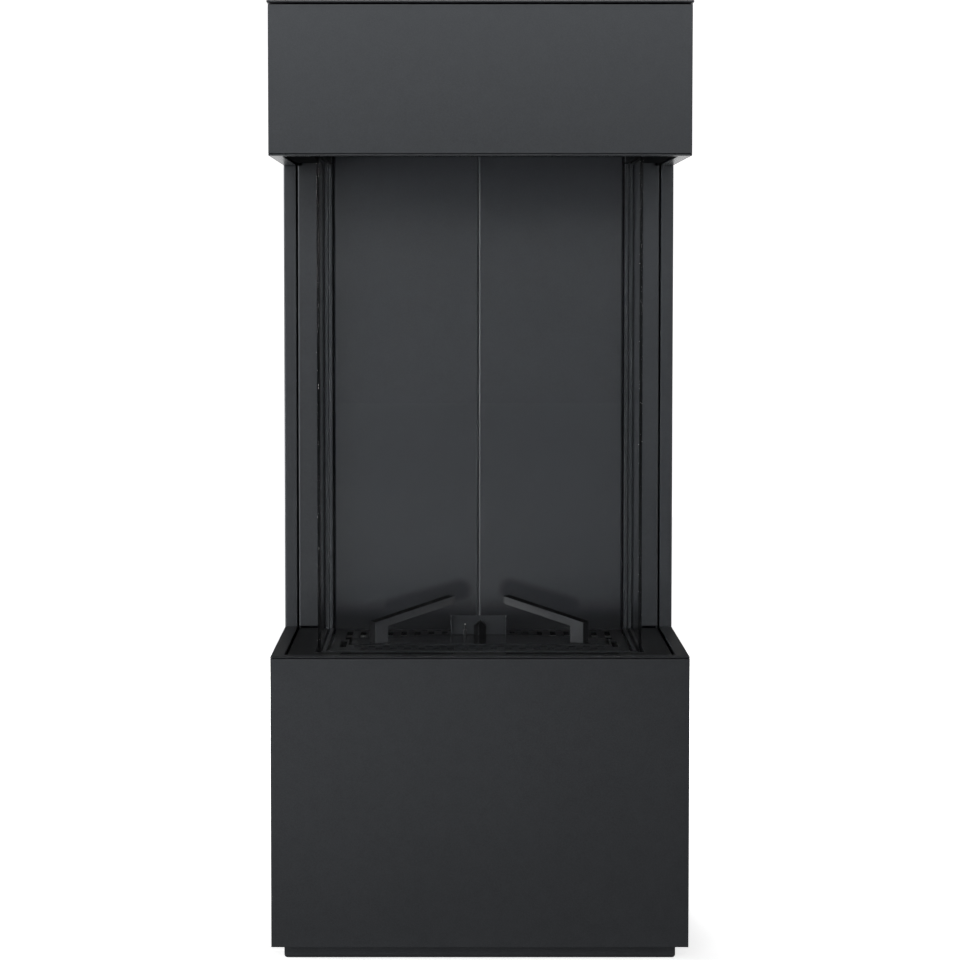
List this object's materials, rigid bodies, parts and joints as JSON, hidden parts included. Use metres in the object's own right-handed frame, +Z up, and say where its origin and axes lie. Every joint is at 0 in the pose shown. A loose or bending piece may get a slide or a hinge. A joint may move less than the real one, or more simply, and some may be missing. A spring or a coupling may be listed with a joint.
{
  "type": "gas fireplace",
  "caption": "Tall free-standing gas fire with a plain base box, a rear column, a hood box and a combustion chamber glazed on three sides.",
  "frame": {"origin": "on the floor, under the middle of the casing", "axes": "+Z up, -Y out of the front pane towards the viewer, +X to the viewer's right"},
  "size_m": [0.684, 0.544, 1.556],
  "materials": {
    "casing_paint": "fine-texture anthracite powder coat, matt",
    "chamber_paint": "heat-resistant anthracite coat, matt",
    "channel_black": "matt black",
    "burner_black": "gloss black enamel",
    "log_support_black": "heat-resistant black coat",
    "zinc_steel": "bright zinc plate",
    "brass": "machined",
    "copper": "drawn copper tube",
    "black_plastic": "moulded, matt",
    "electrode_ceramic": "glazed ceramic",
    "lever_yellow": "dipped plastic coat",
    "glass": "clear ceramic glass"
  },
  "bodies": {
    "casing": {"plinth": "casing_paint", "base_floor": "casing_paint", "base_side_left": "casing_paint", "base_side_right": "casing_paint", "base_back": "casing_paint", "base_rim": "casing_paint", "door_hinge_lower": "zinc_steel", "door_hinge_upper": "zinc_steel", "door_catch": "black_plastic", "column_side_left": "casing_paint", "column_side_right": "casing_paint", "column_back": "casing_paint", "column_trim_left": "casing_paint", "column_trim_right": "casing_paint", "hood_rim": "casing_paint", "hood_front": "casing_paint", "hood_side_left": "casing_paint", "hood_side_right": "casing_paint", "hood_back": "casing_paint", "hood_top": "casing_paint", "top_cap": "casing_paint", "chassis": "zinc_steel", "chamber_floor": "zinc_steel", "glass_channel_lower": "channel_black", "glass_channel_upper": "channel_black", "glass_post_left": "channel_black", "glass_post_right": "channel_black", "chamber_back": "zinc_steel", "chamber_roof": "zinc_steel", "back_liner_left": "chamber_paint", "back_liner_right": "chamber_paint", "side_trim_left": "casing_paint", "side_trim_right": "casing_paint", "upper_trim": "casing_paint", "side_glass_left": "glass", "side_glass_right": "glass", "deck_front": "chamber_paint", "deck_rear": "chamber_paint", "burner_plate": "burner_black", "burner_tray": "zinc_steel", "log_bar_left": "log_support_black", "log_bar_right": "log_support_black", "pilot_shield": "log_support_black", "pilot_hood": "log_support_black", "ignition_electrode": "electrode_ceramic", "gas_valve": "zinc_steel", "control_bracket": "zinc_steel", "gas_cock": "brass", "valve_feed_pipe": "copper", "burner_pipe": "copper", "pilot_pipe": "copper", "flue_collar_outer": "zinc_steel", "flue_collar_inner": "zinc_steel"},
    "door": {"access_door": "casing_paint"},
    "front_trim": {"front_trim": "casing_paint"},
    "front_glass": {"front_glass": "glass"},
    "flame_knob": {"flame_knob": "black_plastic"},
    "pilot_button": {"pilot_button": "black_plastic"},
    "gas_cock_lever": {"gas_cock_lever": "lever_yellow"},
    "relief_flap": {"relief_flap": "zinc_steel"}
  },
  "joints": [
    {"name": "door_hinge", "type": "hinge", "parent": "casing", "child": "door", "pos_m": [-0.334, -0.264, 0.259], "axis": [0, 0, -1], "range_deg": [0, 90]},
    {"name": "trim_lift", "type": "slide", "parent": "casing", "child": "front_trim", "axis": [0, 0, 1], "range_m": [0, 0.014]},
    {"name": "glass_lift", "type": "slide", "parent": "casing", "child": "front_glass", "axis": [0, 0, 1], "range_m": [0, 0.014]},
    {"name": "flame_knob_turn", "type": "hinge", "parent": "casing", "child": "flame_knob", "pos_m": [-0.115, -0.176, 0.135], "axis": [0, -1, 0], "range_deg": [0, 180]},
    {"name": "pilot_button_press", "type": "slide", "parent": "casing", "child": "pilot_button", "axis": [0, 1, 0], "range_m": [0, 0.005], "stiffness_N_per_m": 600},
    {"name": "cock_lever_turn", "type": "hinge", "parent": "casing", "child": "gas_cock_lever", "pos_m": [0.13, -0.15, 0.092], "axis": [0, 0, 1], "range_deg": [0, 90]},
    {"name": "relief_flap_lift", "type": "hinge", "parent": "casing", "child": "relief_flap", "pos_m": [0, -0.094, 1.3433], "axis": [-1, 0, 0], "range_deg": [0, 35]}
  ]
}
